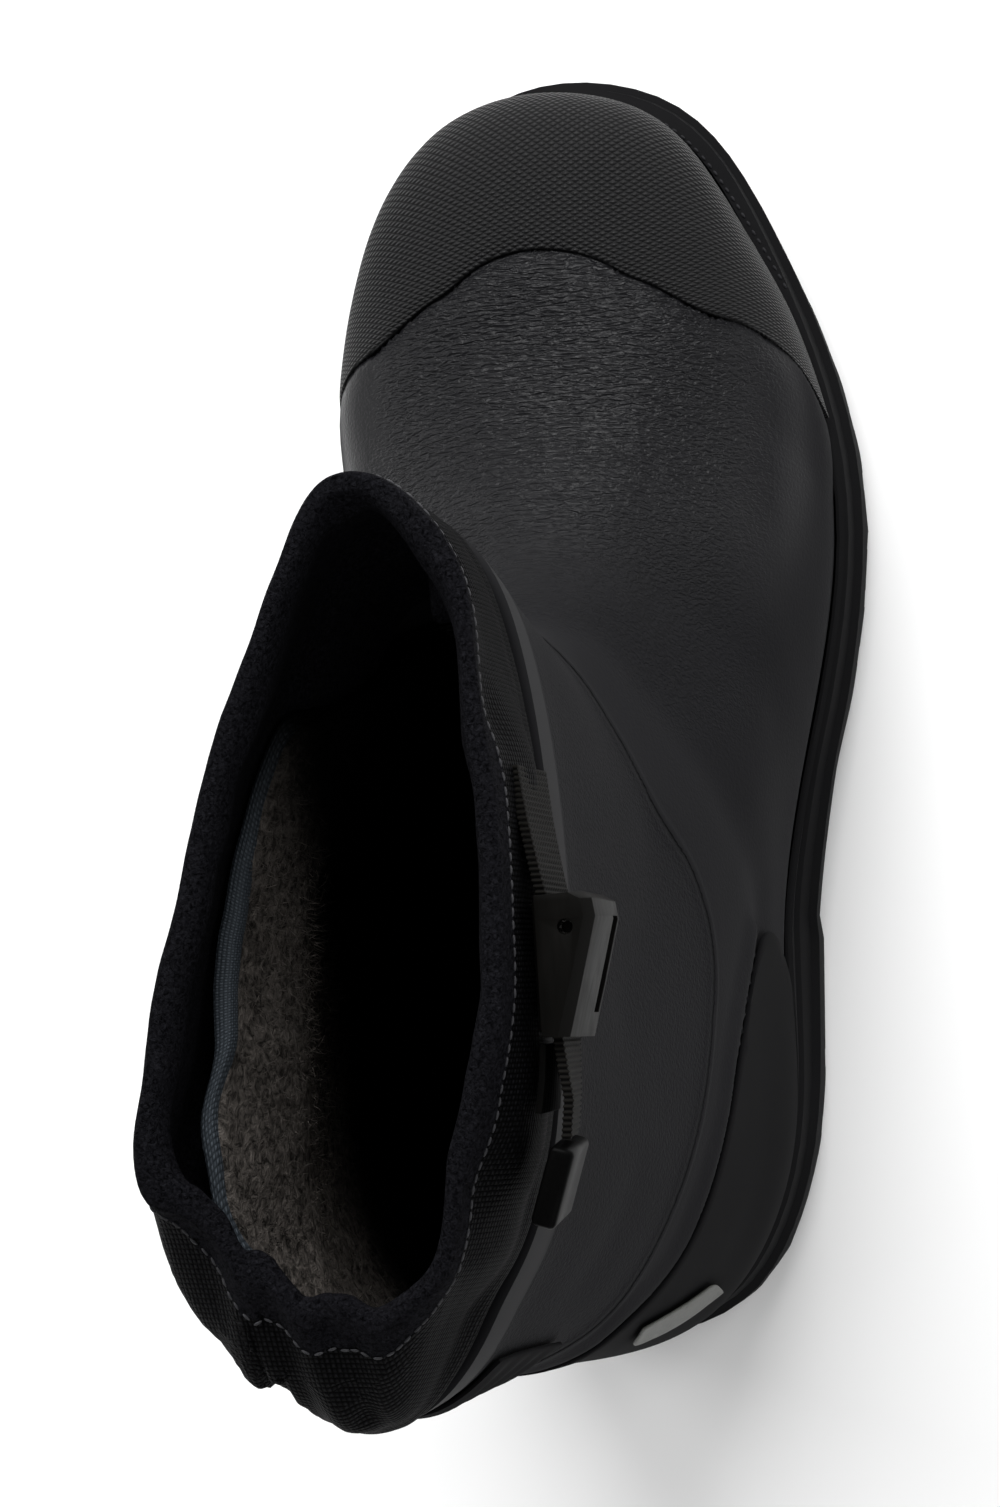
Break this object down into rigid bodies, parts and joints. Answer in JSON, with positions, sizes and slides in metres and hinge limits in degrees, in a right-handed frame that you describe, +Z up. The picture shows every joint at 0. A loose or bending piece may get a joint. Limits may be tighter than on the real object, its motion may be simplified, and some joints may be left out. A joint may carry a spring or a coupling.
{
  "type": "rubber boot",
  "caption": "Right insulated rubber boot with a knurled toe cap, lugged sole, gathered textile cuff and a webbing strap shut in a cam buckle",
  "frame": {"origin": "on the ground under the middle of the heel", "axes": "+Z up, +Y along the sole to the toe, +X to the outer (lateral) side"},
  "size_m": [0.1202, 0.2996, 0.2471],
  "materials": {
    "sole_rubber": "moulded matt black rubber",
    "shell_rubber": "moulded black rubber with a fine grain and a soft sheen",
    "cover_rubber": "moulded black rubber, knurled on the toe",
    "cuff_cloth": "coarse black weave with a fleece facing",
    "footbed_cloth": "dark felt",
    "webbing": "ribbed black webbing",
    "dark_metal": "dark coated steel",
    "black_plastic": "smooth black",
    "reflective_film": "pale reflective film"
  },
  "bodies": {
    "root": {"outsole": "sole_rubber", "upper": "shell_rubber", "insole": "footbed_cloth", "toe_cap": "cover_rubber", "heel_counter": "cover_rubber", "heel_ribs": "cover_rubber", "heel_reflector": "reflective_film", "cuff": "cuff_cloth", "strap": "webbing", "buckle_anchor": "webbing", "buckle_base": "dark_metal", "buckle_lever": "dark_metal", "buckle_pin": "dark_metal", "strap_tip": "black_plastic"}
  },
  "joints": []
}
